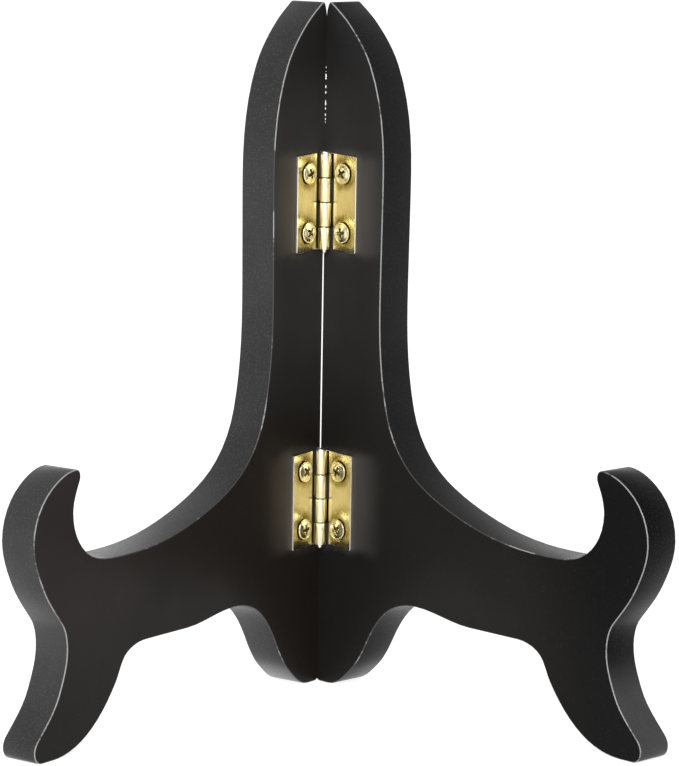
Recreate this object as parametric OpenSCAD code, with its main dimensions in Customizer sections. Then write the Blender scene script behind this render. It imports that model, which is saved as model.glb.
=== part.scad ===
// Folding plate stand: two cut-out boards joined along their spines by two small butt hinges.
// Millimetres, +Z up. The stand rests on z = 0, opened into a V whose mouth faces -Y.

/* [Stand] */
// Height of the stand from the table to the crowns of the boards
stand_height = 175; // [150:1:215]
// Reach of each board along its inner face, from the seam to the front of its hook
board_reach = 111.6; // [93:0.2:134]
// Thickness of each board
board_thickness = 10; // [9.4:0.1:12]
// Angle between the two boards as the stand is set up
opening_angle = 80; // [70:1:96]
// Gap between the inner corners of the two boards at the seam
seam_gap = 0.04; // [0.02:0.02:0.6]

/* [Stem] */
// Widest reach of the stem, below its crown
stem_reach = 21.2; // [17.7:0.1:26]
// Distance from the crown down to the widest place of the stem
stem_drop = 42; // [35:1:48]
// Reach of the stem at its waist
waist_reach = 20.8; // [17.4:0.1:25]
// Height of the waist
waist_height = 99; // [85:1:104]

/* [Arm] */
// Height of the arm's top edge at its lowest place, just behind the hook
arm_height = 45.4; // [42:0.1:50]
// Height of the arm's straight underside
underside_height = 23.2; // [19.4:0.1:26]
// Height of the arch where the underside meets the heel
arch_height = 25.3; // [24:0.1:28]
// Reach of the top of that arch
arch_reach = 35.5; // [33:0.5:38]

/* [Hook and foot] */
// Thickness of the hook in front of the crook that holds the plate
hook_thickness = 14.2; // [12:0.1:17]
// Height of the hook's tip
hook_height = 68.6; // [66:0.1:74]
// How far the ankle is set back from the front of the hook
ankle_setback = 12.1; // [10:0.1:14]
// Height of the ankle
ankle_height = 25.6; // [24:0.1:28]
// How far the toe is set back from the front of the hook
toe_setback = 0.4; // [0.2:0.1:3]
// Length of the flat sole under each foot
sole_length = 3.8; // [3:0.1:6]

/* [Heel] */
// Length of the flat under each heel, beside the seam
heel_flat = 1.6; // [1:0.1:2]

/* [Hinges] */
// Height of each hinge, its number of knuckles being four
hinge_height = 25; // [20.8:0.1:30]
// Distance from the hinge pin to the free edge of a leaf
leaf_reach = 10.2; // [9.4:0.1:12.2]
// Thickness of a leaf
leaf_thickness = 0.8; // [0.6:0.05:1]
// Outside diameter of the knuckles
knuckle_diameter = 3.2; // [2.6:0.05:3.9]
// Diameter of the hinge pin
pin_diameter = 1.4; // [1.1:0.05:1.7]
// Diameter of the domed heads at the ends of the pin
pin_head_diameter = 2.6; // [2:0.05:2.6]
// How far each pin head stands out of the barrel
pin_head_height = 0.5; // [0.4:0.05:0.6]
// How much lower a leaf's top edge is at its free end than beside the barrel
shoulder_drop = 0.4; // [0:0.05:0.8]
// How far a leaf's bottom edge is set up from the end of the barrel
bottom_relief = 0.5; // [0.3:0.05:0.8]
// How far the lip at the outer bottom corner of a leaf hangs below the rest of its bottom edge
lip_drop = 0.45; // [0.2:0.05:0.8]
// Length of that lip along the leaf's bottom edge
lip_length = 4; // [2:0.1:5]
// Distance from the crown down to the middle of the upper hinge
upper_hinge_drop = 50.3; // [48:0.1:56]
// Height of the middle of the lower hinge
lower_hinge_height = 48.5; // [42:0.1:54]

/* [Screws] */
// Diameter of the domed screw heads
head_diameter = 5.3; // [4.4:0.1:5.8]
// Height of the top of a screw head above the leaf
head_rise = 0.85; // [0.5:0.05:0.9]
// Diameter of the screw shank
shank_diameter = 2.4; // [2:0.1:2.8]
// Length of the screw inside the board
screw_length = 8; // [6.7:0.1:9]
// Distance between the two screws of one leaf
screw_spacing = 15; // [13:0.1:17]
// Distance from the hinge pin to the screws
screw_offset = 5.45; // [5.2:0.05:6.4]

/* [Fits] */
// Radial gap between the pin and its bores
pin_clearance = 0.05; // [0.02:0.01:0.1]
// Gap between the knuckles and the face of the opposite board
barrel_clearance = 0.15; // [0.1:0.01:0.2]
// Gap at each end of a knuckle
knuckle_clearance = 0.05; // [0.03:0.01:0.15]
// Gap between the knuckles of one leaf and the cut-back edge of the other
notch_clearance = 0.6; // [0.4:0.05:0.8]
// Gap round each screw, in its hole and in its countersink
screw_clearance = 0.05; // [0.03:0.01:0.1]

/* [Hidden] */
$fn = 48;
eps = 0.01;

// Each board stands this far round from the row's XZ plane.
board_turn = 90 - opening_angle / 2;
// The corner of a board starts this far out from the line where the inner faces would meet.
spine = seam_gap / 2 / cos(board_turn);
// The hinge axis stands off both inner faces alike, on the plane between the boards.
axis_rise = knuckle_diameter / 2 + barrel_clearance;
axis_reach = axis_rise / tan(opening_angle / 2);
// The seam lies behind the origin, so that the origin is under the middle of the stand.
front = board_reach * sin(board_turn);
back = board_thickness * cos(board_turn) - spine * sin(board_turn);
seam_y = (front - back) / 2;

knuckle_count = 4;
knuckle_pitch = hinge_height / knuckle_count;
notch_reach = knuckle_diameter / 2 + notch_clearance;
upper_hinge = stand_height - upper_hinge_drop;
lower_hinge = lower_hinge_height;

// Half-width of a screw's neck where it passes the board's face, and at the top of the leaf
neck_radius = shank_diameter / 2 + 0.1;
cone_radius = head_diameter / 2 - 0.25;
rim_height = 0.3;
recess_width = 0.7;
recess_length = 3.2;
recess_depth = 0.65;
// Slope at the inner end of a leaf's lip, and the cut across the leaf's outer corners
lip_slope = 1;
leaf_corner = 0.3;

// The board's edge, from the top of the spine round by the stem, arm, hook, foot and heel.
// Each station is [reach, height, heading]: the edge passes through it in that direction.
crown = stand_height;
stem_height = crown - stem_drop;
crook = board_reach - hook_thickness;
ankle = board_reach - ankle_setback;
toe = board_reach - toe_setback;
stations = [
    // the rounded corner at the crown, and the shoulder of the stem
    [spine, crown - 1.9, 90], [spine + 1.1, crown, 0], [2.4, crown - 0.6, -36],
    [8, crown - 5, -44], [16, crown - 15.3, -64], [stem_reach, stem_height, -90],
    // the waist, and the sweep out along the top of the arm
    [waist_reach, waist_height, -90], [waist_reach + 3, 73, -75], [waist_reach + 15.2, arm_height + 11.2, -32],
    [54, arm_height + 3.5, -17], [crook - 19, arm_height, 0],
    // the crook, and the hook's small round tip
    [crook - 5, arm_height + 2.7, 37], [crook, arm_height + 12.9, 90], [crook - 2.2, hook_height - 3, 116],
    [crook - 1, hook_height, 0],
    // the front of the hook down to the ankle
    [board_reach - 6.6, hook_height - 3.3, -36], [board_reach, hook_height - 16, -90],
    [board_reach - 3.5, 41.5, -117], [ankle + 2, 32.4, -129], [ankle, ankle_height, -90],
    // the foot and its sole
    [ankle + 2.8, 15.5, -67], [toe - 1.2, 5.6, -47], [toe, 2.8, -90], [toe - 2.6, 0, -180],
    [toe - 2.6 - sole_length, 0, -180],
    // the back of the foot up to the arm's underside
    [ankle - 7.2, 3.6, -212], [ankle - 18, 14.6, -236], [ankle - 22.3, underside_height - 2, -214],
    [ankle - 29.5, underside_height, -180], [arch_reach + 18.5, underside_height, -180],
    // the arch, and the heel's flat and rounded corner
    [arch_reach, arch_height, -180], [25, 22.1, -142], [17.8, 12.7, -118], [12.1, 4.7, -138],
    [2.4 + heel_flat, 0, -180], [2.4, 0, -180], [spine, 2.4, -270]
];

// A stretch of edge between two stations: a cubic that comes out as a true arc between
// stations that an arc can join.
facets = 6;
function along(angle) = [cos(angle), sin(angle)];
function place(station) = [station[0], station[1]];
function grip(p, q) = norm(place(q) - place(p)) / (3 * pow(cos((q[2] - p[2]) / 4), 2));
function stretch(p, q) =
    let (
        a = place(p), d = place(q),
        b = a + grip(p, q) * along(p[2]),
        c = d - grip(p, q) * along(q[2]),
        straight = p[1] == q[1] && p[2] == q[2],
        count = straight ? 1 : facets
    )
    [for (i = [0 : count - 1])
        let (t = i / count, u = 1 - t)
        u * u * u * a + 3 * u * u * t * b + 3 * u * t * t * c + t * t * t * d];
function edge() = [
    for (i = [0 : len(stations) - 2]) each stretch(stations[i], stations[i + 1]),
    place(stations[len(stations) - 1])
];

// Puts the row's origin under the middle of the stand, with the seam behind it.
module set_up() {
    translate([0, seam_y, 0]) children();
}

// A board's own frame: X out along its inner face from the seam, Z up, -Y off the inner face.
module on_right() {
    set_up() rotate([0, 0, -board_turn]) children();
}
module on_left() {
    mirror([1, 0, 0]) on_right() children();
}

// Stands a child at each of the four screw places of one board.
module at_screws() {
    for (hinge = [upper_hinge, lower_hinge], side = [-1, 1])
        at_screw(hinge, side) children();
}
module at_screw(hinge, side) {
    translate([axis_reach + screw_offset, 0, hinge + side * screw_spacing / 2])
        rotate([90, 0, 0]) children();
}

module board() {
    difference() {
        translate([0, board_thickness, 0])
            rotate([90, 0, 0])
                linear_extrude(board_thickness) polygon(edge());
        at_screws()
            translate([0, 0, -screw_length - 0.2])
                cylinder(r = shank_diameter / 2 + screw_clearance, h = screw_length + 0.2 + eps);
        at_screws()
            translate([0, 0, -0.6])
                cylinder(r1 = shank_diameter / 2, r2 = neck_radius + screw_clearance, h = 0.6);
    }
}

// One leaf with every second knuckle, counted from the bottom, starting at knuckle 'first'.
module leaf(hinge, first) {
    translate([axis_reach, 0, hinge - hinge_height / 2])
        difference() {
            union() {
                rotate([90, 0, 0]) linear_extrude(leaf_thickness) leaf_outline();
                for (k = [first : 2 : knuckle_count - 1])
                    translate([0, 0, k * knuckle_pitch + knuckle_clearance])
                        knuckle(knuckle_pitch - 2 * knuckle_clearance);
            }
            translate([0, -axis_rise, -eps])
                cylinder(r = pin_diameter / 2 + pin_clearance, h = hinge_height + 2 * eps);
            for (side = [-1, 1])
                translate([screw_offset, 0, hinge_height / 2 + side * screw_spacing / 2])
                    rotate([90, 0, 0])
                        countersink();
        }
}

// The flat of a leaf, from its cut-back inner edge out to its free edge
module leaf_outline() {
    lip = leaf_reach - lip_length;
    foot = bottom_relief - lip_drop;
    shoulder = hinge_height - shoulder_drop;
    polygon([
        [notch_reach, bottom_relief], [lip, bottom_relief], [lip + lip_slope, foot],
        [leaf_reach - leaf_corner, foot], [leaf_reach, foot + leaf_corner],
        [leaf_reach, shoulder - leaf_corner], [leaf_reach - leaf_corner, shoulder],
        [notch_reach, hinge_height]
    ]);
}

// The rolled barrel and the strip of leaf that it is rolled from
module knuckle(length) {
    translate([0, -axis_rise, 0]) cylinder(d = knuckle_diameter, h = length);
    translate([0, -leaf_thickness, 0]) cube([notch_reach + eps, leaf_thickness, length]);
}

module countersink() {
    slope = (cone_radius - neck_radius) / leaf_thickness;
    translate([0, 0, -eps])
        cylinder(
            r1 = neck_radius + screw_clearance - slope * eps,
            r2 = cone_radius + screw_clearance + slope * eps,
            h = leaf_thickness + 2 * eps
        );
}

// The pin through all four knuckles, with a domed head at each end
module pin(hinge) {
    translate([axis_reach, -axis_rise, hinge]) {
        cylinder(d = pin_diameter, h = hinge_height + 2 * eps, center = true);
        for (end = [0, 1])
            mirror([0, 0, end])
                translate([0, 0, hinge_height / 2]) dome(pin_head_diameter, pin_head_height);
    }
}

// A low dome of the given width and height, standing on z = 0
module dome(width, height) {
    ball = (width * width / 4 + height * height) / (2 * height);
    intersection() {
        cylinder(d = width, h = height);
        translate([0, 0, height - ball]) sphere(r = ball, $fn = 96);
    }
}

// A screw along +Z with z = 0 at the board's face: pointed shank, cone in the leaf, domed head
module screw(slot_angle) {
    tip = 1.6;
    difference() {
        union() {
            translate([0, 0, -screw_length])
                cylinder(r1 = 0.15, r2 = shank_diameter / 2, h = tip);
            translate([0, 0, -screw_length + tip])
                cylinder(d = shank_diameter, h = screw_length - tip - 0.5);
            translate([0, 0, -0.5])
                cylinder(r1 = shank_diameter / 2, r2 = neck_radius, h = 0.5);
            cylinder(r1 = neck_radius, r2 = cone_radius, h = leaf_thickness);
            translate([0, 0, leaf_thickness]) cylinder(d = head_diameter, h = rim_height);
            translate([0, 0, leaf_thickness + rim_height]) dome(head_diameter, head_rise - rim_height);
        }
        for (turn = [0, 90])
            rotate(slot_angle + turn)
                translate([-recess_length / 2, -recess_width / 2, leaf_thickness + head_rise - recess_depth])
                    cube([recess_length, recess_width, recess_depth + 1]);
    }
}

module left_board() { color("#262524") on_left() board(); }
module right_board() { color("#303032") on_right() board(); }

module upper_hinge_left_leaf() { color("#cdbb66") on_left() leaf(upper_hinge, 0); }
module upper_hinge_right_leaf() { color("#c4b05a") on_right() leaf(upper_hinge, 1); }
module upper_hinge_pin() { color("#a8964a") on_left() pin(upper_hinge); }
module lower_hinge_left_leaf() { color("#cdbb66") on_left() leaf(lower_hinge, 0); }
module lower_hinge_right_leaf() { color("#c4b05a") on_right() leaf(lower_hinge, 1); }
module lower_hinge_pin() { color("#a8964a") on_left() pin(lower_hinge); }

module upper_left_top_screw() { color("#e0d48c") on_left() at_screw(upper_hinge, 1) screw(20); }
module upper_left_bottom_screw() { color("#e0d48c") on_left() at_screw(upper_hinge, -1) screw(50); }
module upper_right_top_screw() { color("#e0d48c") on_right() at_screw(upper_hinge, 1) screw(35); }
module upper_right_bottom_screw() { color("#e0d48c") on_right() at_screw(upper_hinge, -1) screw(5); }
module lower_left_top_screw() { color("#e0d48c") on_left() at_screw(lower_hinge, 1) screw(40); }
module lower_left_bottom_screw() { color("#e0d48c") on_left() at_screw(lower_hinge, -1) screw(10); }
module lower_right_top_screw() { color("#e0d48c") on_right() at_screw(lower_hinge, 1) screw(65); }
module lower_right_bottom_screw() { color("#e0d48c") on_right() at_screw(lower_hinge, -1) screw(30); }

left_board();
right_board();
upper_hinge_left_leaf();
upper_hinge_right_leaf();
upper_hinge_pin();
lower_hinge_left_leaf();
lower_hinge_right_leaf();
lower_hinge_pin();
upper_left_top_screw();
upper_left_bottom_screw();
upper_right_top_screw();
upper_right_bottom_screw();
lower_left_top_screw();
lower_left_bottom_screw();
lower_right_top_screw();
lower_right_bottom_screw();
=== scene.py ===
import math

import bmesh
import bpy
from mathutils import Matrix, Vector, noise


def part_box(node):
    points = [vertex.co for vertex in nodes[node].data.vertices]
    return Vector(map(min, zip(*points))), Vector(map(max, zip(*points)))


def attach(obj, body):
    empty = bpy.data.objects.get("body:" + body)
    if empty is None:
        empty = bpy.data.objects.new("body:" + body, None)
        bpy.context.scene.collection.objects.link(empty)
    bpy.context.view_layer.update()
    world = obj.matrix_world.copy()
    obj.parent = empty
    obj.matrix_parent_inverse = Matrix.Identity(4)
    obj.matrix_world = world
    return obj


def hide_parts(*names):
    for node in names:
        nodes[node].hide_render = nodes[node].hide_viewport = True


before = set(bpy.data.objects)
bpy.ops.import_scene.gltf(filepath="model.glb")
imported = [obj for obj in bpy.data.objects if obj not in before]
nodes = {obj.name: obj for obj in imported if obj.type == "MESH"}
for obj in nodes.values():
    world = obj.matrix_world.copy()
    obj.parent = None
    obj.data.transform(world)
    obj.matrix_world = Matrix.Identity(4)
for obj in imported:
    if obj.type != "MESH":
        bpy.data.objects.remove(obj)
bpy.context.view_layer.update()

# ---------------------------------------------------------------- the room
# A white table that runs out of sight under even studio light: one broad light in front and
# above, a softer one at the left, and a pale room all round.
bpy.context.scene.view_settings.view_transform = "Standard"
bpy.context.scene.view_settings.look = "None"

camera_azimuth = math.radians(-4.04)
camera_elevation = math.radians(8.83)
camera_roll = math.radians(0.907)
camera_distance = 0.904
camera_target = Vector((0.00465, 0.03957, 0.07794))

to_camera = Vector((
    math.sin(camera_azimuth) * math.cos(camera_elevation),
    -math.cos(camera_azimuth) * math.cos(camera_elevation),
    math.sin(camera_elevation),
))
level_right = Vector((math.cos(camera_azimuth), math.sin(camera_azimuth), 0))
level_up = to_camera.cross(level_right)
camera_right = math.cos(camera_roll) * level_right + math.sin(camera_roll) * level_up
camera_up = math.cos(camera_roll) * level_up - math.sin(camera_roll) * level_right

bpy.ops.object.camera_add(location=camera_target + camera_distance * to_camera)
camera = bpy.context.object
camera.rotation_euler = Matrix((camera_right, camera_up, to_camera)).transposed().to_euler()
camera.data.lens = 166
camera.data.sensor_width = 36
bpy.context.scene.camera = camera

bpy.ops.mesh.primitive_plane_add(size=30)
table = bpy.context.object
table.name = "table"
table_paint = bpy.data.materials.new("white_table")
table_paint.use_nodes = True
table_shader = table_paint.node_tree.nodes["Principled BSDF"]
table_shader.inputs["Base Color"].default_value = (0.35, 0.35, 0.35, 1)
table_shader.inputs["Roughness"].default_value = 0.9
table_shader.inputs["Specular IOR Level"].default_value = 0.0
table_shader.inputs["Emission Color"].default_value = (1, 1, 1, 1)
table_shader.inputs["Emission Strength"].default_value = 0.85
table.data.materials.append(table_paint)

# The room is white at eye level, as a studio's walls are, and dimmer towards its ceiling.
room = bpy.data.worlds.new("room")
bpy.context.scene.world = room
room.use_nodes = True
room_tree = room.node_tree
room_light = room_tree.nodes["Background"]
room_place = room_tree.nodes.new("ShaderNodeTexCoord")
room_axes = room_tree.nodes.new("ShaderNodeSeparateXYZ")
room_tone = room_tree.nodes.new("ShaderNodeValToRGB")
room_tone.color_ramp.elements[0].position = 0.15
room_tone.color_ramp.elements[0].color = (1, 1, 1, 1)
room_tone.color_ramp.elements[1].position = 0.6
room_tone.color_ramp.elements[1].color = (0.75, 0.75, 0.75, 1)
room_tree.links.new(room_place.outputs["Generated"], room_axes.inputs["Vector"])
room_tree.links.new(room_axes.outputs["Z"], room_tone.inputs["Fac"])
room_tree.links.new(room_tone.outputs["Color"], room_light.inputs["Color"])


def softbox(name, place, aim, width, power, highlight=True):
    bpy.ops.object.light_add(type="AREA", location=place)
    light = bpy.context.object
    light.name = name
    light.data.shape = "SQUARE"
    light.data.size = width
    light.data.energy = power
    light.visible_glossy = highlight
    light.rotation_euler = (Vector(aim) - Vector(place)).to_track_quat("-Z", "Y").to_euler()


softbox("front_light", (-0.25, -1.6, 0.9), (0, 0, 0.08), 1.0, 28)
softbox("left_light", (-1.6, -0.4, 0.8), (0, 0, 0.08), 1.0, 10, highlight=False)

# ---------------------------------------------------------------- the boards
# Two mirror-image boards, sawn from 10 mm stock, sanded and painted satin black. The sawn
# edges drank the paint in and dried greyer, and the corners towards the front are rubbed
# through, with a painted highlight along them too. Painted light lifts the band along the fold
# and the paint beside each hinge, and the edges' tones by region are painted light and shade.
# The boards have bowed a little, so that light shows at the seam between the hinges.
board_turn = math.radians(50)
board_thickness = 0.010
arris = 0.00022
spine = 0.0005
crown_corner = 0.0011
heel_corner = 0.00242
heel_tightening = 0.7
barrel_radius = 0.0016
barrel_rise = 0.00175

pin_low, pin_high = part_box("upper_hinge_pin")
pin_y = (pin_low.y + pin_high.y) / 2
seam_y = pin_y + barrel_rise / math.cos(board_turn)
seam = Vector((0, seam_y, 0))
upper_hinge = (pin_low.z + pin_high.z) / 2
lower_hinge = sum(corner.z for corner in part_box("lower_hinge_pin")) / 2
crown_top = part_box("left_board")[1].z

# The seam: its bow between the hinges, the rounding at the crown, and the chips under it
bow_gap = 0.00016
crown_gap = 0.0005
crown_round = 0.0036
chip_gap = 0.00014
chips_start = 0.0155
chips_end = 0.0305

# Where one tone of paint passes into the next, by distance from the seam or by height
# The band along the fold is painted lighter, against the shade inside the V
fold_fade = (0.001, 0.011)
arm_fade = (0.036, 0.066)
stem_fade = (0.06, 0.1)
crown_fade = (0.14, 0.165)
foot_fade = (0.008, 0.042)
edge_stem_fade = (0.04, 0.06)
edge_foot_fade = (0.013, 0.026)
# The heel's fades mark a painted highlight on the sawn edge
heel_height_fade = (0.001, 0.008)
heel_reach_fade = (0.02, 0.03)
# Where the arris line shows both worn paint and a painted highlight, by reach from the seam
held_and_lit_fade = (0.056, 0.064)
# Where the painted glow of light reflected from the brass fades out, beside each hinge
haze_reach_fade = (0.006, 0.016)
haze_height_fade = (0.0125, 0.0165)
dust_tone = (0.05, 0.048, 0.046)
face_patch_tone = (0.004, 0.0036, 0.0032)
edge_patch_tone = (0.002, 0.002, 0.002)
plain_arris_tone = (0.02, 0.02, 0.02)

# The finishes of a board, by their place in its list of materials
on_face, on_edge, on_arris, on_back = range(4)


def along_board(side):
    return Vector((side * math.cos(board_turn), -math.sin(board_turn), 0))


def behind_board(side):
    return Vector((side * math.sin(board_turn), math.cos(board_turn), 0))


def new_finish(name, gloss, roughness, metallic=0):
    """A material with its shader and Object coordinates, ready for tones and grain."""
    finish = bpy.data.materials.new(name)
    finish.use_nodes = True
    tree = finish.node_tree
    shader = tree.nodes["Principled BSDF"]
    shader.inputs["Specular IOR Level"].default_value = gloss
    shader.inputs["Roughness"].default_value = roughness
    shader.inputs["Metallic"].default_value = metallic
    place = tree.nodes.new("ShaderNodeTexCoord")
    return finish, tree, shader, place.outputs["Object"]


def grain(tree, place, size, detail, stretch=(1, 1, 1)):
    """Noise of the given size in metres, drawn out along an axis where its stretch is small."""
    aim = tree.nodes.new("ShaderNodeMapping")
    aim.inputs["Scale"].default_value = stretch
    speckle = tree.nodes.new("ShaderNodeTexNoise")
    speckle.inputs["Scale"].default_value = 1 / size
    speckle.inputs["Detail"].default_value = detail
    tree.links.new(place, aim.inputs["Vector"])
    tree.links.new(aim.outputs["Vector"], speckle.inputs["Vector"])
    return speckle.outputs["Fac"]


def between(tree, source, low, high, low_result=0, high_result=1):
    """Runs smoothly from one result to the other as the source goes from low to high."""
    spread = tree.nodes.new("ShaderNodeMapRange")
    spread.interpolation_type = "SMOOTHSTEP"
    spread.inputs["From Min"].default_value = low
    spread.inputs["From Max"].default_value = high
    spread.inputs["To Min"].default_value = low_result
    spread.inputs["To Max"].default_value = high_result
    tree.links.new(source, spread.inputs["Value"])
    return spread.outputs["Result"]


def sum_up(tree, operation, first, second):
    step = tree.nodes.new("ShaderNodeMath")
    step.operation = operation
    for socket, value in zip(step.inputs, (first, second)):
        if isinstance(value, (int, float)):
            socket.default_value = value
        else:
            tree.links.new(value, socket)
    return step.outputs[0]


def blend(tree, factor, first, second):
    """Mixes two colours, each given as a value or as another node's output."""
    mixed = tree.nodes.new("ShaderNodeMix")
    mixed.data_type = "RGBA"
    tree.links.new(factor, mixed.inputs["Factor"])
    for socket, colour in ((mixed.inputs[6], first), (mixed.inputs[7], second)):
        if isinstance(colour, tuple):
            socket.default_value = (*colour, 1)
        else:
            tree.links.new(colour, socket)
    return mixed.outputs[2]


def raise_surface(tree, shader, source, height):
    """Lets a noise stand out of the surface by up to the given height in metres."""
    bump = tree.nodes.new("ShaderNodeBump")
    bump.inputs["Distance"].default_value = height
    if shader.inputs["Normal"].links:
        tree.links.new(shader.inputs["Normal"].links[0].from_socket, bump.inputs["Normal"])
    tree.links.new(source, bump.inputs["Height"])
    tree.links.new(bump.outputs["Normal"], shader.inputs["Normal"])


def axes_of(tree, place):
    axes = tree.nodes.new("ShaderNodeSeparateXYZ")
    tree.links.new(place, axes.inputs["Vector"])
    return axes.outputs


def painted_brass_glow(tree, place):
    """How strongly the painted glow of light reflected from the brass shows: beside each hinge,
    fading outwards.
    """
    axes = axes_of(tree, place)
    from_seam = sum_up(tree, "ABSOLUTE", axes["X"], 0)
    outward = between(tree, from_seam, *haze_reach_fade, 1, 0)
    ragged = sum_up(tree, "MULTIPLY", grain(tree, place, 0.005, 3), 0.004)
    haze = None
    for height in (upper_hinge, lower_hinge):
        off_centre = sum_up(tree, "ABSOLUTE", sum_up(tree, "SUBTRACT", axes["Z"], height), 0)
        off_centre = sum_up(tree, "ADD", off_centre, ragged)
        upright = between(tree, off_centre, *haze_height_fade, 1, 0)
        patch = sum_up(tree, "MULTIPLY", outward, upright)
        haze = patch if haze is None else sum_up(tree, "MAXIMUM", haze, patch)
    return haze


def face_paint(name, tones, brass_glow_tone, gloss):
    """Satin paint on a flat face, toned region by region from the fold out to hook and foot.
    The band along the fold is painted light, against the shade inside the V.
    """
    finish, tree, shader, place = new_finish(name, gloss, 0.36)
    axes = axes_of(tree, place)
    from_seam = sum_up(tree, "ABSOLUTE", axes["X"], 0)
    patches = grain(tree, place, 0.02, 4)
    # Painted light: the fold's tone is lighter than the stem's, against the shade inside the V
    stem = blend(tree, between(tree, from_seam, *fold_fade), tones["fold"], tones["stem"])
    stem = blend(tree, between(tree, axes["Z"], *crown_fade), stem, tones["crown"])
    outer = blend(tree, between(tree, axes["Z"], *foot_fade), tones["foot"], tones["hook"])
    arm = blend(tree, between(tree, from_seam, *arm_fade), tones["arm"], outer)
    tone = blend(tree, between(tree, axes["Z"], *stem_fade), arm, stem)
    # Painted light: a warm glow beside each hinge, standing for light reflected from the brass
    # leaves
    if brass_glow_tone:
        tone = blend(tree, painted_brass_glow(tree, place), tone, brass_glow_tone)
    dust = grain(tree, place, 0.0004, 2)
    tone = blend(tree, between(tree, dust, 0.6, 0.8, 0, 0.3), tone, dust_tone)
    tone = blend(tree, between(tree, patches, 0.3, 0.7, 0, 0.25), tone, face_patch_tone)
    tree.links.new(tone, shader.inputs["Base Color"])
    tree.links.new(between(tree, patches, 0.3, 0.7, 0.30, 0.42), shader.inputs["Roughness"])
    raise_surface(tree, shader, grain(tree, place, 0.0007, 3), 0.000012)
    raise_surface(tree, shader, grain(tree, place, 0.009, 2), 0.00006)
    return finish


def edge_paint(name, tones, gloss):
    """Paint soaked into a sawn edge: greyer, grainy, with the saw's marks across the edge."""
    finish, tree, shader, place = new_finish(name, gloss, 0.22)
    axes = axes_of(tree, place)
    from_seam = sum_up(tree, "ABSOLUTE", axes["X"], 0)
    # Painted light and shade: the tones by board and region stand for how each edge is lit
    outer = blend(tree, between(tree, axes["Z"], *edge_foot_fade), tones["foot"], tones["hook"])
    tone = blend(tree, between(tree, from_seam, *edge_stem_fade), tones["stem"], outer)
    # Painted highlight: a paler patch on the edge at the heel
    heel = sum_up(tree, "MULTIPLY", between(tree, axes["Z"], *heel_height_fade, 1, 0),
                  between(tree, from_seam, *heel_reach_fade, 1, 0))
    tone = blend(tree, heel, tone, tones["heel"])
    patches = grain(tree, place, 0.018, 4)
    speckle = grain(tree, place, 0.0004, 3)
    tone = blend(tree, between(tree, patches, 0.35, 0.65, 0, 0.3), tone, edge_patch_tone)
    tone = blend(tree, between(tree, speckle, 0.52, 0.72, 0, 0.6), tone, tones["speck"])
    tree.links.new(tone, shader.inputs["Base Color"])
    tree.links.new(between(tree, speckle, 0.3, 0.7, 0.18, 0.3), shader.inputs["Roughness"])
    raise_surface(tree, shader, speckle, 0.00003)
    raise_surface(tree, shader, grain(tree, place, 0.0012, 2, (0.2, 0.2, 1)), 0.00003)
    return finish


def arris_paint(name, rubbed_and_lit_tone, worn_and_lit_above):
    """The corner between face and edge, rubbed through where hands hold it: the upper stem, the
    hook and the foot. The pale line there is partly a painted highlight on the rounded corner.
    Elsewhere only specks of the pale undercoat show."""
    finish, tree, shader, place = new_finish(name, 0.5, 0.35)
    axes = axes_of(tree, place)
    from_seam = sum_up(tree, "ABSOLUTE", axes["X"], 0)
    held_and_lit = sum_up(
        tree, "MAXIMUM", between(tree, from_seam, *held_and_lit_fade),
        between(tree, axes["Z"], worn_and_lit_above, worn_and_lit_above + 0.008),
    )
    wear_and_highlight = sum_up(tree, "ADD", grain(tree, place, 0.014, 2), sum_up(
        tree, "MULTIPLY", grain(tree, place, 0.0009, 2), 0.4))
    wear_and_highlight = sum_up(tree, "ADD", wear_and_highlight, sum_up(tree, "MULTIPLY", held_and_lit, 0.2))
    # Partly painted highlight: the pale tone stands for light caught on the rounded corner as well
    # as worn paint
    tone = blend(tree, between(tree, wear_and_highlight, 0.72, 0.88), plain_arris_tone, rubbed_and_lit_tone)
    tree.links.new(tone, shader.inputs["Base Color"])
    raise_surface(tree, shader, grain(tree, place, 0.0008, 2), 0.00002)
    return finish


def whole_copy(node, name):
    """A copy of a solid's mesh with its loose triangles joined into one skin."""
    bpy.ops.object.select_all(action="DESELECT")
    mesh = nodes[node].data.copy()
    mesh.materials.clear()
    piece = bpy.data.objects.new(name, mesh)
    bpy.context.collection.objects.link(piece)
    piece.select_set(True)
    bpy.context.view_layer.objects.active = piece
    bpy.ops.object.mode_set(mode="EDIT")
    bpy.ops.mesh.select_all(action="SELECT")
    bpy.ops.mesh.remove_doubles(threshold=0.000002)
    bpy.ops.object.mode_set(mode="OBJECT")
    return piece


def choose(piece, kind, wanted):
    """Selects exactly the vertices, edges or faces that the test accepts, in edit mode."""
    bpy.ops.mesh.select_mode(type=kind)
    bpy.ops.mesh.select_all(action="DESELECT")
    skin = bmesh.from_edit_mesh(piece.data)
    for part in {"VERT": skin.verts, "EDGE": skin.edges, "FACE": skin.faces}[kind]:
        if wanted(part):
            part.select_set(True)
    skin.select_flush_mode()
    bmesh.update_edit_mesh(piece.data)


def apply_modifier(piece, kind, **settings):
    """Adds one modifier with its settings and applies it at once."""
    modifier = piece.modifiers.new(kind.lower(), kind)
    for name, value in settings.items():
        setattr(modifier, name, value)
    bpy.context.view_layer.objects.active = piece
    bpy.ops.object.modifier_apply(modifier=modifier.name)


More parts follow.
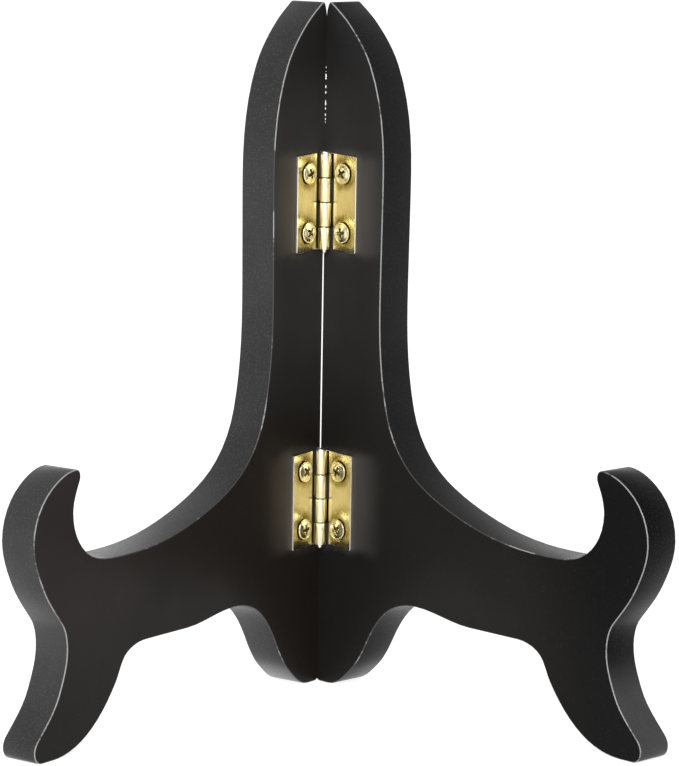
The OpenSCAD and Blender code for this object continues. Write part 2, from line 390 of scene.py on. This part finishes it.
def daylight(height):
    """Half of the gap at the seam at this height: a long bow between the hinges, where light
    shows, a row of rubbed chips above them, and the two rounded corners at the very top."""
    bow = (height - lower_hinge) / (upper_hinge - lower_hinge)
    if 0 < bow < 1:
        return bow_gap * math.sin(math.pi * bow) ** 0.3
    crown = (height - crown_top + crown_round) / crown_round
    if crown > 0:
        return crown_gap * crown ** 1.5
    if chips_start < crown_top - height < chips_end:
        chips = noise.noise(Vector((0, 0, height / 0.0007)))
        chips += noise.noise(Vector((0, 7, height / 0.0019)))
        return chip_gap * max(0, min(1, 4 * chips))
    return 0


def mark_corners(mesh, along, behind):
    """Marks the corners to be eased: both faces' outlines, but for the seam's sharp front."""
    easing = mesh.attributes.new("bevel_weight_edge", "FLOAT", "EDGE")
    for edge in mesh.edges:
        ends = [mesh.vertices[index].co - seam for index in edge.vertices]
        depths = [end.dot(behind) for end in ends]
        across = abs(depths[0] - depths[1]) > board_thickness / 2
        at_spine = all(end.dot(along) < spine for end in ends)
        in_front = max(depths) < board_thickness / 2
        easing.data[edge.index].value = 0 if across or (at_spine and in_front) else 1


def shape_spine(mesh, along):
    """Brings the spine to the seam, less the daylight there. The crown keeps its round corner,
    and the heel's is drawn in tighter."""
    for vertex in mesh.vertices:
        rounded = vertex.co.z > upper_hinge
        reach = (vertex.co - seam).dot(along)
        if reach < (crown_corner if rounded else spine):
            kept = reach if rounded and reach > 0.00005 else 0
            gap = daylight(vertex.co.z) / math.cos(board_turn)
            vertex.co += (kept + gap * (1 - kept / crown_corner) - reach) * along
        reach = (vertex.co - seam).dot(along)
        if max(reach, vertex.co.z) < heel_corner:
            vertex.co -= heel_tightening * (reach * along + Vector((0, 0, vertex.co.z)))


def make_board(node, side, finishes):
    """Saws a board again from the outline of its outer face, then eases its corners."""
    board = whole_copy(node, node + "_painted")
    along = along_board(side)
    behind = behind_board(side)
    bpy.ops.object.mode_set(mode="EDIT")
    choose(board, "FACE", lambda face: face.normal.dot(behind) < 0.999)
    bpy.ops.mesh.delete(type="FACE")
    bpy.ops.mesh.select_all(action="SELECT")
    bpy.ops.mesh.dissolve_limited(angle_limit=math.radians(0.5))
    choose(board, "EDGE", lambda edge: edge.calc_length() > 0.1
           and all((vert.co - seam).dot(along) < spine for vert in edge.verts))
    for cuts in (100, 8):
        bpy.ops.mesh.subdivide(number_cuts=cuts)
    bpy.ops.mesh.select_all(action="SELECT")
    bpy.ops.mesh.extrude_region_move(
        TRANSFORM_OT_translate={"value": -board_thickness * behind}
    )
    bpy.ops.mesh.select_all(action="SELECT")
    bpy.ops.mesh.normals_make_consistent(inside=False)
    bpy.ops.object.mode_set(mode="OBJECT")

    mesh = board.data
    mark_corners(mesh, along, behind)
    shape_spine(mesh, along)
    for finish in finishes:
        mesh.materials.append(finish)
    for face in mesh.polygons:
        lean = face.normal.dot(behind)
        face.material_index = on_back if lean > 0.99 else on_face if lean < -0.99 else on_edge
    apply_modifier(
        board, "BEVEL", width=arris, segments=3, limit_method="WEIGHT", material=on_arris,
        use_clamp_overlap=False,
    )
    bpy.ops.object.shade_smooth_by_angle(angle=math.radians(32))
    for face in mesh.polygons:
        behind_middle = (face.center - seam).dot(behind) > board_thickness / 2
        if face.material_index in (on_face, on_back):
            face.use_smooth = False
        if face.material_index == on_arris and behind_middle:
            face.material_index = on_back
    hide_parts(node)
    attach(board, "left" if side < 0 else "right")


back_tone = (0.014, 0.0135, 0.013)
back_tones = {part: back_tone for part in ("crown", "stem", "fold", "arm", "hook", "foot")}
back_paint = face_paint("back_paint", back_tones, None, 0.1)
# The two boards' edge tones differ region by region: painted light and shade on one paint
make_board("left_board", -1, (
    face_paint("left_face_paint", {
        "crown": (0.014, 0.013, 0.0125), "stem": (0.024, 0.023, 0.0215),
        "fold": (0.034, 0.032, 0.03), "arm": (0.011, 0.0088, 0.0074),
        "hook": (0.016, 0.0128, 0.012), "foot": (0.0045, 0.0034, 0.003),
    }, (0.055, 0.044, 0.037), 0.1),
    edge_paint("left_edge_paint", {
        "stem": (0.019, 0.019, 0.019), "hook": (0.028, 0.028, 0.028),
        "foot": (0.025, 0.025, 0.025), "heel": (0.14, 0.14, 0.14), "speck": (0.045, 0.045, 0.045),
    }, 0.22),
    arris_paint("left_arris", (0.20, 0.20, 0.20), 0.137),
    back_paint,
))
make_board("right_board", 1, (
    face_paint("right_face_paint", {
        "crown": (0.0155, 0.0148, 0.0148), "stem": (0.0175, 0.0168, 0.0165),
        "fold": (0.029, 0.028, 0.027), "arm": (0.0105, 0.01, 0.009),
        "hook": (0.0028, 0.0026, 0.0026), "foot": (0.0032, 0.003, 0.003),
    }, (0.055, 0.05, 0.048), 0.06),
    edge_paint("right_edge_paint", {
        "stem": (0.009, 0.009, 0.009), "hook": (0.0005, 0.0005, 0.0005),
        "foot": (0.042, 0.042, 0.042), "heel": (0.04, 0.04, 0.04), "speck": (0.018, 0.018, 0.018),
    }, 0.07),
    arris_paint("right_arris", (0.19, 0.19, 0.19), 0.068),
    back_paint,
))

# ---------------------------------------------------------------- the hinge leaves
# Pressed brass sheet, 0.8 mm thick, brushed upright and thinly plated. Two strips of each leaf
# are rolled round the pin, and two seats are pressed in for the screws.
leaf_reach = 0.0102
leaf_thickness = 0.0008
leaf_corner = 0.0003
notch_reach = 0.0022
hinge_height = 0.025
shoulder_drop = 0.0004
bottom_relief = 0.0005
lip_drop = 0.00045
lip_length = 0.004
lip_slope = 0.001
knuckles = 4
knuckle_gap = 0.00005
pin_radius = 0.0007
screw_offset = 0.00545
screw_spacing = 0.015
neck_radius = 0.0013
cone_radius = 0.0024
dish_radius = 0.00315
dish_floor = 0.0025
cone_depth = 0.00082
cone_top = 0.00081
dish_depth = 0.0004
dish_top = 0.001
sheet_easing = 0.00012
rim_width = 0.00035
# Painted shade in the groove beside the barrel
groove_shade_tone = (0.05, 0.035, 0.01)
axis_reach = barrel_rise / math.tan(math.pi / 2 - board_turn)

# The finishes of a leaf, by their place in its list of materials
on_sheet, on_rim, on_barrel, on_joint = range(4)


def cut_through(piece, cutter):
    """Takes the cutter's shape out of the piece and throws the cutter away."""
    apply_modifier(piece, "BOOLEAN", operation="DIFFERENCE", object=cutter, solver="EXACT")
    bpy.data.objects.remove(cutter)


def smooth_round(piece):
    """Smooth shading on what is round, with the flats along the piece's own axes left flat."""
    bpy.ops.object.select_all(action="DESELECT")
    piece.select_set(True)
    bpy.context.view_layer.objects.active = piece
    bpy.ops.object.shade_smooth_by_angle(angle=math.radians(34))
    for face in piece.data.polygons:
        if max(abs(part) for part in face.normal) > 0.9999:
            face.use_smooth = False


def make_leaf(first):
    """A leaf in its own frame: the pin upright at X = 0, the board's face at Y = 0."""
    pitch = hinge_height / knuckles
    bpy.ops.object.select_all(action="DESELECT")
    bpy.ops.mesh.primitive_plane_add(
        size=1, location=((notch_reach + leaf_reach) / 2, 0, hinge_height / 2),
        rotation=(-math.pi / 2, 0, 0),
    )
    leaf = bpy.context.object
    leaf.scale = (leaf_reach - notch_reach, hinge_height, 1)
    bpy.ops.object.transform_apply(location=True, rotation=True, scale=True)
    bpy.ops.object.mode_set(mode="EDIT")
    lip = leaf_reach - lip_length
    strips = [
        (k * pitch + knuckle_gap, (k + 1) * pitch - knuckle_gap)
        for k in range(first, knuckles, 2)
    ]
    cuts = [((x, 0, 0), (1, 0, 0)) for x in (lip, lip + lip_slope)]
    cuts += [((0, 0, z), (0, 0, 1)) for strip in strips for z in strip]
    for place, normal in cuts:
        bpy.ops.mesh.select_all(action="SELECT")
        bpy.ops.mesh.bisect(plane_co=place, plane_no=normal)

    # The two long edges of the flat: relief and lip below, sloping shoulder above
    skin = bmesh.from_edit_mesh(leaf.data)
    for vert in skin.verts:
        if vert.co.z < 1e-6:
            vert.co.z = bottom_relief
            if vert.co.x > lip + lip_slope / 2:
                vert.co.z -= lip_drop
        if vert.co.z > hinge_height - 1e-6:
            vert.co.z -= shoulder_drop * (vert.co.x - notch_reach) / (leaf_reach - notch_reach)
    bmesh.update_edit_mesh(leaf.data)
    choose(leaf, "VERT", lambda vert: vert.co.x > leaf_reach - 1e-6 and not (
        pitch / 2 < vert.co.z < hinge_height - pitch / 2))
    bpy.ops.mesh.bevel(offset=leaf_corner, affect="VERTICES")

    # The strips go under the pin and are rolled round it, stopping short of the flat
    def inner_edge(edge):
        middle = (edge.verts[0].co + edge.verts[1].co) / 2
        return middle.x < notch_reach + 1e-6 and any(
            low < middle.z < high for low, high in strips)

    choose(leaf, "EDGE", inner_edge)
    bpy.ops.mesh.extrude_region_move(TRANSFORM_OT_translate={
        "value": (-notch_reach, barrel_radius - barrel_rise, 0)})
    bpy.ops.mesh.spin(
        steps=26, angle=math.radians(286), center=(0, -barrel_rise, 0), axis=(0, 0, -1))
    bpy.ops.mesh.select_all(action="SELECT")
    bpy.ops.mesh.remove_doubles(threshold=0.000001)
    bpy.ops.mesh.normals_make_consistent(inside=False)
    bpy.ops.object.mode_set(mode="OBJECT")
    apply_modifier(leaf, "SOLIDIFY", thickness=leaf_thickness, offset=-1, use_even_offset=True)

    for end in (-1, 1):
        seat = (screw_offset, 0, hinge_height / 2 + end * screw_spacing / 2)
        for wide, narrow, depth, top in (
            (cone_radius, neck_radius, cone_depth, cone_top),
            (2 * dish_radius - dish_floor, dish_floor, dish_depth, dish_top),
        ):
            bpy.ops.mesh.primitive_cone_add(
                vertices=48, radius1=narrow, radius2=wide, depth=depth,
                location=(seat[0], depth / 2 - top, seat[2]), rotation=(math.pi / 2, 0, 0),
            )
            cut_through(leaf, bpy.context.object)
    leaf.data.materials.clear()
    for _ in (on_sheet, on_rim, on_barrel, on_joint):
        leaf.data.materials.append(None)
    apply_modifier(
        leaf, "BEVEL", width=sheet_easing, segments=2, limit_method="ANGLE",
        angle_limit=math.radians(38), use_clamp_overlap=False, material=on_rim,
    )
    for face in leaf.data.polygons:
        if abs(face.normal.y) < 0.1 and face.center.x > leaf_reach - rim_width:
            face.material_index = on_rim
        from_pin = Vector((face.center.x, face.center.y + barrel_rise)).length
        if abs(from_pin - barrel_radius) < 0.00008:
            face.material_index = on_barrel
        # The knuckles' ends facing the gaps between them take the joint finish, painted shade
        inside = pitch / 2 < face.center.z < hinge_height - pitch / 2
        if inside and from_pin < barrel_radius + 0.00004 and abs(face.normal.z) > 0.2:
            face.material_index = on_joint
    smooth_round(leaf)
    return leaf


def brushed_brass(name, bright, deep, roughness):
    """Plated brass, brushed along Z, with deeper tones where the plating is thin."""
    finish, tree, shader, place = new_finish(name, 0.5, roughness, metallic=1)
    brushing = grain(tree, place, 0.00025, 2, (1, 1, 0.02))
    clouds = grain(tree, place, 0.0035, 4)
    tone = blend(tree, between(tree, clouds, 0.42, 0.72), bright, deep)
    tree.links.new(tone, shader.inputs["Base Color"])
    tree.links.new(
        between(tree, brushing, 0.3, 0.7, roughness - 0.05, roughness + 0.06),
        shader.inputs["Roughness"],
    )
    raise_surface(tree, shader, brushing, 0.0000015)
    raise_surface(tree, shader, grain(tree, place, 0.003, 1), 0.00003)
    return finish, tree, shader, place


def seat_and_groove_shade(finish, seat_shade_tone):
    """Darkens the plating round the screw seats and in the groove beside the barrel: painted
    shade in the dish round each head and in the groove."""
    coat, tree, shader, place = finish
    axes = axes_of(tree, place)
    folded = tree.nodes.new("ShaderNodeCombineXYZ")
    tree.links.new(sum_up(tree, "ABSOLUTE", axes["X"], 0), folded.inputs["X"])
    tree.links.new(axes["Y"], folded.inputs["Y"])
    tree.links.new(axes["Z"], folded.inputs["Z"])
    nearest = None
    for hinge in (upper_hinge, lower_hinge):
        for end in (-1, 1):
            centre = Vector((0, seam_y, hinge + end * screw_spacing / 2))
            centre += (axis_reach + screw_offset) * along_board(1)
            distance = tree.nodes.new("ShaderNodeVectorMath")
            distance.operation = "DISTANCE"
            tree.links.new(folded.outputs["Vector"], distance.inputs[0])
            distance.inputs[1].default_value = centre
            reach = distance.outputs["Value"]
            nearest = reach if nearest is None else sum_up(tree, "MINIMUM", nearest, reach)
    # Painted shade round each screw seat, with a ragged edge
    ragged = sum_up(tree, "ADD", nearest, sum_up(
        tree, "MULTIPLY", grain(tree, place, 0.0016, 3), 0.0022))
    tone = blend(
        tree, between(tree, ragged, 0.0043, 0.0062, 0.85, 0),
        shader.inputs["Base Color"].links[0].from_socket, seat_shade_tone,
    )
    offset = tree.nodes.new("ShaderNodeCombineXYZ")
    tree.links.new(axes["X"], offset.inputs["X"])
    tree.links.new(sum_up(tree, "SUBTRACT", axes["Y"], pin_y), offset.inputs["Y"])
    length = tree.nodes.new("ShaderNodeVectorMath")
    length.operation = "LENGTH"
    tree.links.new(offset.outputs["Vector"], length.inputs[0])
    from_pin = length.outputs["Value"]
    # Painted shade in the groove between the sheet and its rolled barrel
    groove = sum_up(tree, "MULTIPLY", between(tree, from_pin, 0.00163, 0.00172),
                    between(tree, from_pin, 0.0022, 0.0024, 1, 0))
    tone = blend(tree, groove, tone, groove_shade_tone)
    tree.links.new(tone, shader.inputs["Base Color"])
    return coat


def stand_at(side, reach, height):
    """From a board's own frame, X along its inner face and -Y off it, into the row frame."""
    place = (
        Matrix.Translation((0, seam_y, 0))
        @ Matrix.Rotation(-board_turn, 4, "Z")
        @ Matrix.Translation((reach, 0, height))
    )
    return place if side > 0 else Matrix.Diagonal((-1, 1, 1, 1)) @ place


def set_in_place(pattern, node, place, body, finishes):
    """Copies a pattern with its own mesh to where a node is, and hands it to that body."""
    piece = bpy.data.objects.new(node + "_plated", pattern.data.copy())
    bpy.context.collection.objects.link(piece)
    piece.data.transform(place)
    if place.determinant() < 0:
        piece.data.flip_normals()
    for index, finish in enumerate(finishes):
        piece.data.materials[index] = finish
    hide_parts(node)
    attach(piece, body)


sides = (("left", -1), ("right", 1))
hinges = (("upper", upper_hinge), ("lower", lower_hinge))
# The left leaves are painted darker brass than the right ones: painted shade on one brass
leaf_brass = {
    "left": seat_and_groove_shade(brushed_brass(
        "left_leaf_shaded_brass", (0.59, 0.52, 0.30), (0.52, 0.455, 0.24), 0.22), (0.30, 0.235, 0.06)),
    "right": seat_and_groove_shade(brushed_brass(
        "right_leaf_brass", (0.90, 0.79, 0.48), (0.82, 0.72, 0.41), 0.22), (0.36, 0.28, 0.07)),
}
# Painted highlight: the sheet's rims and outer edges take a near-white brass, for bright lines
# along them
rim_highlight_brass = brushed_brass("rim_highlight_brass", (1.0, 0.98, 0.86), (0.97, 0.92, 0.76), 0.3)[0]
barrel_brass = brushed_brass("barrel_brass", (0.82, 0.745, 0.50), (0.74, 0.66, 0.41), 0.3)[0]
# Painted shade: the knuckles' ends, in the narrow gaps between knuckles, take a dark brass
joint_shade_brass = brushed_brass("joint_shade_brass", (0.14, 0.10, 0.03), (0.07, 0.05, 0.015), 0.35)[0]
for side_name, side in sides:
    leaf = make_leaf(0 if side < 0 else 1)
    for hinge_name, height in hinges:
        set_in_place(
            leaf, f"{hinge_name}_hinge_{side_name}_leaf",
            stand_at(side, axis_reach, height - hinge_height / 2),
            side_name,
            (leaf_brass[side_name], rim_highlight_brass, barrel_brass, joint_shade_brass),
        )
    bpy.data.objects.remove(leaf)

# ---------------------------------------------------------------- the hinge pins
# Brass wire through all four knuckles of each hinge. Its upper end is hammered out over the
# barrel into a burr, and its lower end is only rounded over.
pin_head_height = 0.0005
burr_dent = 0.00012
burr_lean = 0.12
burr_side = 0.0008
burr_seed = 1


def end_face(piece, upper):
    """Selects the flat face at one end of an upright piece."""
    sign = 1 if upper else -1
    tip = max(sign * vert.co.z for vert in piece.data.vertices)
    bpy.ops.object.mode_set(mode="EDIT")
    choose(piece, "FACE", lambda face: sign * face.normal.z > 0.99
           and sign * face.calc_center_median().z > tip - 1e-6)


def draw_out(radius, rings):
    """Extrudes the chosen end face through a row of rings, each a radius and a rise."""
    for ring, rise in rings:
        bpy.ops.mesh.extrude_region_move(TRANSFORM_OT_translate={"value": (0, 0, rise)})
        bpy.ops.transform.resize(value=(ring / radius, ring / radius, 1))
        radius = ring


def make_pin():
    """A pin standing on the middle of its barrel."""
    bpy.ops.object.select_all(action="DESELECT")
    bpy.ops.mesh.primitive_cylinder_add(vertices=40, radius=pin_radius, depth=hinge_height)
    pin = bpy.context.object
    rise = pin_head_height
    end_face(pin, True)
    draw_out(pin_radius, (
        (0.0013, 0.1 * rise), (0.00145, 0.2 * rise), (0.00142, 0.35 * rise),
        (0.0012, 0.3 * rise), (0.0009, 0.1 * rise), (0.0006, -0.15 * rise), (0.0003, 0.3 * rise),
    ))
    bpy.ops.object.mode_set(mode="OBJECT")
    end_face(pin, False)
    draw_out(pin_radius, (
        (0.00066, -0.45 * rise), (0.00056, -0.3 * rise), (0.0003, -0.25 * rise),
    ))
    bpy.ops.object.mode_set(mode="OBJECT")
    noise.seed_set(burr_seed)
    for vert in pin.data.vertices:
        if vert.co.z > hinge_height / 2 + 0.1 * rise:
            dent = noise.noise_vector(vert.co / 0.0009)
            vert.co += burr_dent * Vector((dent.x, dent.y, 0))
            vert.co.z -= burr_lean * (vert.co.x + burr_side)
    pin.data.materials.append(None)
    smooth_round(pin)
    return pin


pin_brass = brushed_brass("pin_brass", (1.0, 0.97, 0.86), (0.90, 0.80, 0.52), 0.3)[0]
pin = make_pin()
for hinge_name, height in hinges:
    set_in_place(
        pin, f"{hinge_name}_hinge_pin", Matrix.Translation((0, pin_y, height)),
        "left", (pin_brass,),
    )
bpy.data.objects.remove(pin)

# ---------------------------------------------------------------- the screws
# Eight small wood screws, turned from brass: a pointed shank, a cone that fills its seat, a
# flat rim and a low domed head with a pressed cross recess. Each stopped at its own angle.
head_radius = 0.00265
head_rise = 0.00085
rim_height = 0.0004
shank_radius = 0.0012
screw_length = 0.008
screw_tip = 0.0016
recess_length = 0.0036
recess_width = 0.00095
recess_depth = 0.00085
dome_radius = 0.0023
dome_lip = 0.00006
dome_steps = 6
screw_easing = 0.00004
in_recess = 1


def make_screw():
    """A screw pointing down, with the board's face at Z = 0."""
    bpy.ops.object.select_all(action="DESELECT")
    depth = screw_length - screw_tip
    bpy.ops.mesh.primitive_cylinder_add(
        vertices=48, radius=shank_radius, depth=depth, location=(0, 0, -depth / 2))
    screw = bpy.context.object
    bpy.ops.object.transform_apply(location=True)
    end_face(screw, False)
    draw_out(shank_radius, ((0.0002, -screw_tip),))
    bpy.ops.object.mode_set(mode="OBJECT")
    dome = head_rise - rim_height
    rings = [
        (neck_radius, 0.00005), (cone_radius, leaf_thickness - 0.00005),
        (head_radius - 0.00005, 0.00005), (head_radius, 0.00008),
        (head_radius, rim_height - 0.0002), (head_radius - 0.00007, 0.00007),
        (dome_radius + 0.0001, 0), (dome_radius, -dome_lip),
    ]
    for step in range(1, dome_steps):
        inner = 1 - step / dome_steps
        outer = 1 - (step - 1) / dome_steps
        rings.append((dome_radius * inner, (dome + dome_lip) * (outer ** 2 - inner ** 2)))
    end_face(screw, True)
    draw_out(shank_radius, rings)
    bpy.ops.object.mode_set(mode="OBJECT")

    # The cross recess, driven in by a punch whose arms narrow downwards
    top = max(vert.co.z for vert in screw.data.vertices)
    for turn in (0, math.pi / 2):
        bpy.ops.mesh.primitive_cube_add(
            size=1, location=(0, 0, top - recess_depth / 2 + 0.0001), rotation=(0, 0, turn))
        punch = bpy.context.object
        punch.scale = (recess_length, recess_width, recess_depth + 0.0002)
        bpy.ops.object.transform_apply(location=True, rotation=True, scale=True)
        bpy.ops.object.mode_set(mode="EDIT")
        choose(punch, "FACE", lambda face: face.normal.z < -0.9)
        bpy.ops.transform.resize(value=(0.4, 0.4, 1))
        bpy.ops.object.mode_set(mode="OBJECT")
        cut_through(screw, punch)
    apply_modifier(
        screw, "BEVEL", width=screw_easing, segments=2, limit_method="ANGLE",
        angle_limit=math.radians(38), use_clamp_overlap=False,
    )
    screw.data.materials.clear()
    for _ in range(2):
        screw.data.materials.append(None)
    # The faces inside the cross recess take their own finish, painted shade
    for face in screw.data.polygons:
        reach = face.center.xy.length
        dome_here = top - 0.00003 - dome * (reach / dome_radius) ** 2
        if reach < recess_length / 2 + 0.0001 and 0 < face.center.z < dome_here - 0.00012:
            face.material_index = in_recess
    smooth_round(screw)
    return screw


screw_brass = brushed_brass("screw_brass", (0.96, 0.89, 0.60), (0.88, 0.78, 0.46), 0.24)[0]
# Painted shade: the faces inside the cross recess take a dark brass
recess_shade_brass = brushed_brass("recess_shade_brass", (0.16, 0.115, 0.035), (0.05, 0.035, 0.01), 0.3)[0]
turns = {
    "upper_left_top": 20, "upper_left_bottom": 50, "upper_right_top": 35,
    "upper_right_bottom": 5, "lower_left_top": 40, "lower_left_bottom": 10,
    "lower_right_top": 65, "lower_right_bottom": 30,
}
screw = make_screw()
for hinge_name, height in hinges:
    for side_name, side in sides:
        for end_name, end in (("top", 1), ("bottom", -1)):
            name = f"{hinge_name}_{side_name}_{end_name}"
            off_face = -behind_board(side)
            upright = Vector((0, 0, 1))
            place = Matrix((upright.cross(off_face), upright, off_face)).transposed().to_4x4()
            place.translation = Vector((0, seam_y, height + end * screw_spacing / 2))
            place.translation += (axis_reach + screw_offset) * along_board(side)
            set_in_place(
                screw, name + "_screw", place @ Matrix.Rotation(math.radians(turns[name]), 4, "Z"),
                side_name, (screw_brass, recess_shade_brass),
            )
bpy.data.objects.remove(screw)
